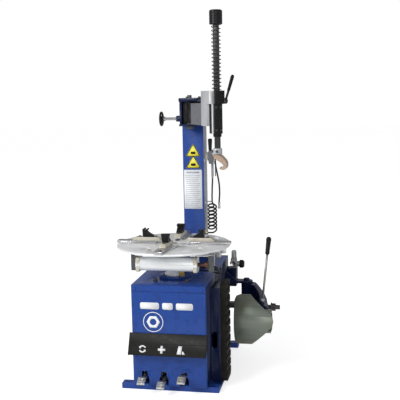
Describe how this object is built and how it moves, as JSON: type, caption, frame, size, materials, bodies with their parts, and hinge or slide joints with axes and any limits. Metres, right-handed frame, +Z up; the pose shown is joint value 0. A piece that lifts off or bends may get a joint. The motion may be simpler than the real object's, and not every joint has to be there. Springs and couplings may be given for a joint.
{
  "type": "tire changer machine",
  "caption": "Swing-arm tyre changer: jawed turntable on a cabinet, sprung mount head, foot pedals, side bead breaker and inflator gun.",
  "frame": {"origin": "on the floor under the turntable's axis", "axes": "+Z up, +X to the right seen from the pedals, +Y towards the column"},
  "size_m": [0.846, 0.876, 1.943],
  "materials": {
    "blue_paint": "gloss",
    "navy_paint": "gloss",
    "black_paint": "satin",
    "grey_paint": "satin",
    "light_grey_paint": "satin",
    "bright_steel": "satin",
    "blade_steel": "satin",
    "zinc_steel": "satin",
    "jaw_steel": "satin",
    "dark_iron": "matt",
    "aluminium": "satin",
    "bronze_iron": "satin",
    "brass": "satin",
    "rubber": "matt",
    "black_iron": "gloss",
    "black_plastic": "matt",
    "hose": "gloss"
  },
  "bodies": {
    "cabinet": {"base_frame": "navy_paint", "cabinet_shell": "blue_paint", "side_cover": "blue_paint", "hood_cover": "black_paint", "wheel_support_box": "navy_paint", "rubber_pad": "rubber", "pedal_frame": "zinc_steel", "gearbox_housing": "dark_iron", "motor": "dark_iron", "v_belt": "rubber", "hub_housing": "aluminium", "column": "blue_paint", "arm_bracket": "blue_paint", "pivot_pin": "zinc_steel", "bead_arm_bracket": "navy_paint", "air_box": "navy_paint", "air_filter": "aluminium", "column_fittings": "aluminium", "gun_body": "black_plastic", "supply_coil": "hose", "supply_lead": "hose", "delivery_hose": "hose", "air_chuck": "brass", "fasteners": "zinc_steel"},
    "left_pedal": {"pedal_left": "zinc_steel"},
    "middle_pedal": {"pedal_middle": "zinc_steel"},
    "right_pedal": {"pedal_right": "zinc_steel"},
    "drive_pulley": {"motor_pulley": "bright_steel"},
    "worm": {"worm_shaft": "bright_steel"},
    "turntable": {"spindle": "bright_steel", "turntable_disc": "bright_steel"},
    "slide_a": {"jaw_slide_a": "bright_steel", "jaw_a": "jaw_steel", "front_barrel": "aluminium", "rear_rod": "bright_steel"},
    "slide_b": {"jaw_slide_b": "bright_steel", "jaw_b": "jaw_steel"},
    "slide_c": {"jaw_slide_c": "bright_steel", "jaw_c": "jaw_steel"},
    "slide_d": {"jaw_slide_d": "bright_steel", "jaw_d": "jaw_steel", "rear_barrel": "aluminium", "front_rod": "bright_steel"},
    "arm": {"swing_arm": "grey_paint", "arm_head": "light_grey_paint", "head_cover": "black_paint", "return_spring": "bright_steel"},
    "lock": {"lock_lever": "black_plastic"},
    "shaft": {"hex_shaft": "bright_steel", "shaft_cap": "rubber", "mount_head": "bronze_iron"},
    "screw": {"stop_screw": "zinc_steel"},
    "wheel": {"handwheel": "black_iron"},
    "breaker": {"bead_arm": "navy_paint", "bead_handle": "black_plastic"},
    "blade": {"bead_blade": "blade_steel"},
    "breaker_cylinder": {"bead_cylinder": "dark_iron"},
    "breaker_rod": {"bead_rod": "bright_steel"},
    "knob": {"regulator_knob": "black_plastic"},
    "trigger": {"gun_lever": "grey_paint"}
  },
  "joints": [
    {"name": "turntable_spin", "type": "hinge", "parent": "cabinet", "child": "turntable", "pos_m": [0, 0, 0.7], "axis": [0, 0, 1], "continuous": true},
    {"name": "worm_spin", "type": "hinge", "parent": "cabinet", "child": "worm", "pos_m": [-0.1, 0, 0.482], "axis": [0, 1, 0], "continuous": true},
    {"name": "motor_spin", "type": "hinge", "parent": "cabinet", "child": "drive_pulley", "pos_m": [-0.03, -0.1, 0.236], "axis": [0, 1, 0], "continuous": true},
    {"name": "jaw_a_slide", "type": "slide", "parent": "turntable", "child": "slide_a", "axis": [-1, 0, 0], "range_m": [-0.018, 0.06]},
    {"name": "jaw_b_slide", "type": "slide", "parent": "turntable", "child": "slide_b", "axis": [-0.0523, -0.9986, 0], "range_m": [-0.018, 0.06]},
    {"name": "jaw_c_slide", "type": "slide", "parent": "turntable", "child": "slide_c", "axis": [0.0523, 0.9986, 0], "range_m": [-0.018, 0.06]},
    {"name": "jaw_d_slide", "type": "slide", "parent": "turntable", "child": "slide_d", "axis": [1, 0, 0], "range_m": [-0.018, 0.06]},
    {"name": "arm_swing", "type": "hinge", "parent": "cabinet", "child": "arm", "pos_m": [0.03, 0.35, 1.41], "axis": [0, 0, 1], "range_deg": [0, 65]},
    {"name": "shaft_slide", "type": "slide", "parent": "arm", "child": "shaft", "axis": [0, 0, -1], "range_m": [0, 0.23], "stiffness_N_per_m": 600, "springref_m": -0.15, "deforming": ["return_spring"]},
    {"name": "lock_lever_turn", "type": "hinge", "parent": "arm", "child": "lock", "pos_m": [0.28019, 0.03381, 1.484], "axis": [0.8486, 0.5291, 0], "range_deg": [0, 50]},
    {"name": "stop_screw_feed", "type": "slide", "parent": "cabinet", "child": "screw", "axis": [1, 0, 0], "range_m": [-0.02, 0]},
    {"name": "handwheel_turn", "type": "hinge", "parent": "screw", "child": "wheel", "pos_m": [-0.141, 0.38, 1.384], "axis": [1, 0, 0], "range_deg": [-3600, 0]},
    {"name": "left_pedal_tilt", "type": "hinge", "parent": "cabinet", "child": "left_pedal", "pos_m": [-0.12, -0.06, 0.074], "axis": [1, 0, 0], "range_deg": [-5, 5], "stiffness_Nm_per_rad": 40},
    {"name": "middle_pedal_tilt", "type": "hinge", "parent": "cabinet", "child": "middle_pedal", "pos_m": [-0.019, -0.06, 0.074], "axis": [1, 0, 0], "range_deg": [0, 4], "stiffness_Nm_per_rad": 40, "springref_deg": -3.44},
    {"name": "right_pedal_tilt", "type": "hinge", "parent": "cabinet", "child": "right_pedal", "pos_m": [0.088, -0.06, 0.074], "axis": [1, 0, 0], "range_deg": [0, 6], "stiffness_Nm_per_rad": 40, "springref_deg": -3.44},
    {"name": "breaker_swing", "type": "hinge", "parent": "cabinet", "child": "breaker", "pos_m": [0.33, 0.45, 0.36], "axis": [0, 0, 1], "range_deg": [0, 30]},
    {"name": "breaker_cylinder_swing", "type": "hinge", "parent": "cabinet", "child": "breaker_cylinder", "pos_m": [-0.05, 0.25, 0.337], "axis": [0, 0, 1], "range_deg": [0, 9.2]},
    {"name": "breaker_rod_slide", "type": "slide", "parent": "breaker_cylinder", "child": "breaker_rod", "axis": [1, 0, 0], "range_m": [0, 0.095]},
    {"name": "blade_tilt", "type": "hinge", "parent": "breaker", "child": "blade", "pos_m": [0.486, 0.115, 0.303], "axis": [0, 0, 1], "range_deg": [-10, 10]},
    {"name": "regulator_turn", "type": "hinge", "parent": "cabinet", "child": "knob", "pos_m": [0.29, 0.525, 0.517], "axis": [1, 0, 0], "range_deg": [-360, 360]},
    {"name": "trigger_squeeze", "type": "hinge", "parent": "cabinet", "child": "trigger", "pos_m": [0.157, 0.42, 1.13], "axis": [0, 1, 0], "range_deg": [0, 5], "stiffness_Nm_per_rad": 1.5, "springref_deg": -5.73}
  ],
  "couplings": [
    {"joint": "worm_spin", "follows": "turntable_spin", "ratio": 40},
    {"joint": "motor_spin", "follows": "turntable_spin", "ratio": 66.667},
    {"joint": "jaw_b_slide", "follows": "jaw_a_slide", "ratio": 1},
    {"joint": "jaw_c_slide", "follows": "jaw_a_slide", "ratio": 1},
    {"joint": "jaw_d_slide", "follows": "jaw_a_slide", "ratio": 1},
    {"joint": "stop_screw_feed", "follows": "handwheel_turn", "m_per_rad": 0.00031831},
    {"joint": "breaker_cylinder_swing", "follows": "breaker_swing", "ratio": 0.3048},
    {"joint": "breaker_rod_slide", "follows": "breaker_swing", "m_per_rad": 0.1699}
  ]
}
